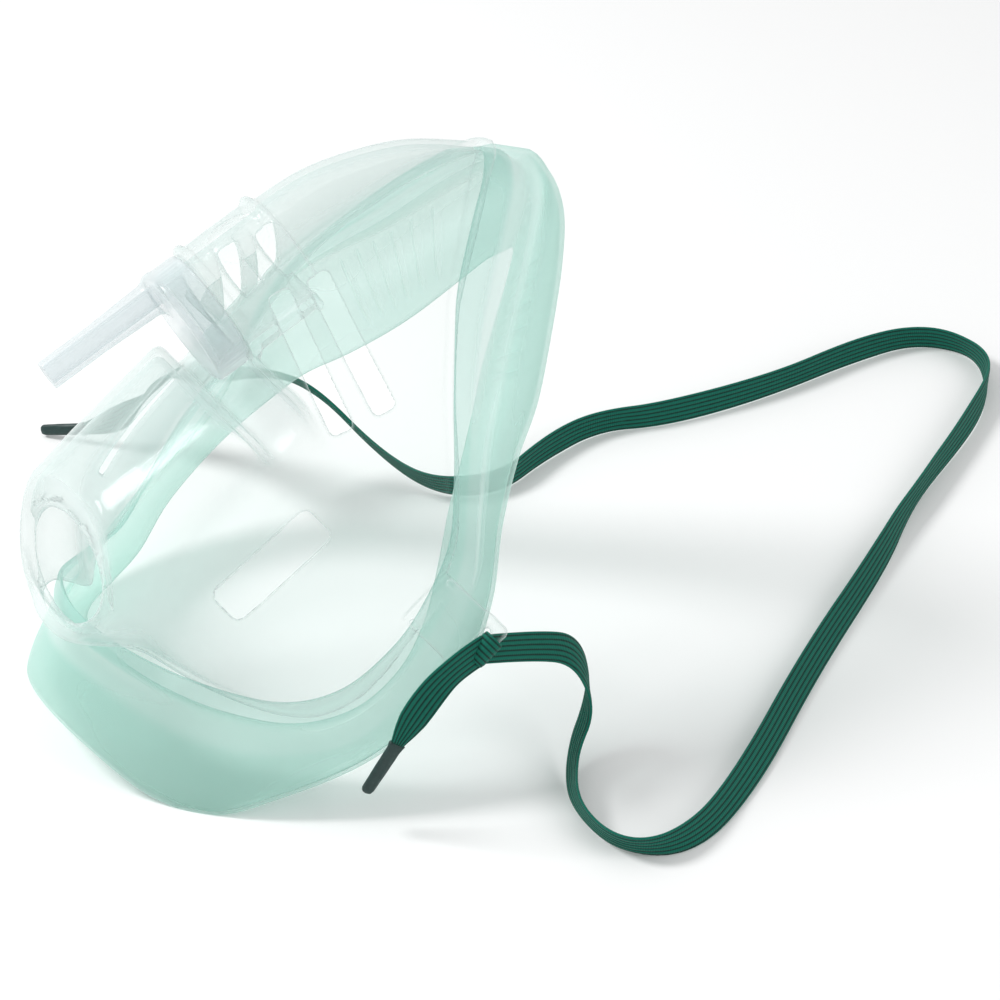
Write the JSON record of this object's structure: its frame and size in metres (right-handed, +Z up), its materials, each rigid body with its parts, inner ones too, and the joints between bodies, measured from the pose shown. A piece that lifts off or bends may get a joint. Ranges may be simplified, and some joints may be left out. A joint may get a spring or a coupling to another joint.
{
  "type": "oxygen face mask",
  "caption": "Clear moulded face mask with a soft green face seal, a swivelling tubing connector on a round port, side and nose vent slots, a chin opening and an elastic head strap.",
  "frame": {"origin": "floor level, at the middle of the footprint of the mask without its strap", "axes": "+Z up, +X from the tube port towards the wearer, +Y towards the wearer's right"},
  "size_m": [0.2643, 0.2098, 0.1181],
  "materials": {
    "clear_shell": "gloss",
    "soft_seal": "satin",
    "clear_connector": "gloss",
    "elastic": "matte",
    "sealed_end": "satin"
  },
  "bodies": {
    "mask": {"mask_shell": "clear_shell", "face_seal": "soft_seal", "strap_loop": "elastic", "strap_tail_left": "elastic", "strap_tail_right": "elastic", "strap_tip_left": "sealed_end", "strap_tip_right": "sealed_end"},
    "connector": {"tubing_connector": "clear_connector"}
  },
  "joints": [
    {"name": "connector_swivel", "type": "hinge", "parent": "mask", "child": "connector", "pos_m": [-0.02412, 0, 0.09073], "axis": [-0.9178, 0, -0.3971], "range_deg": [-91, 29]}
  ]
}
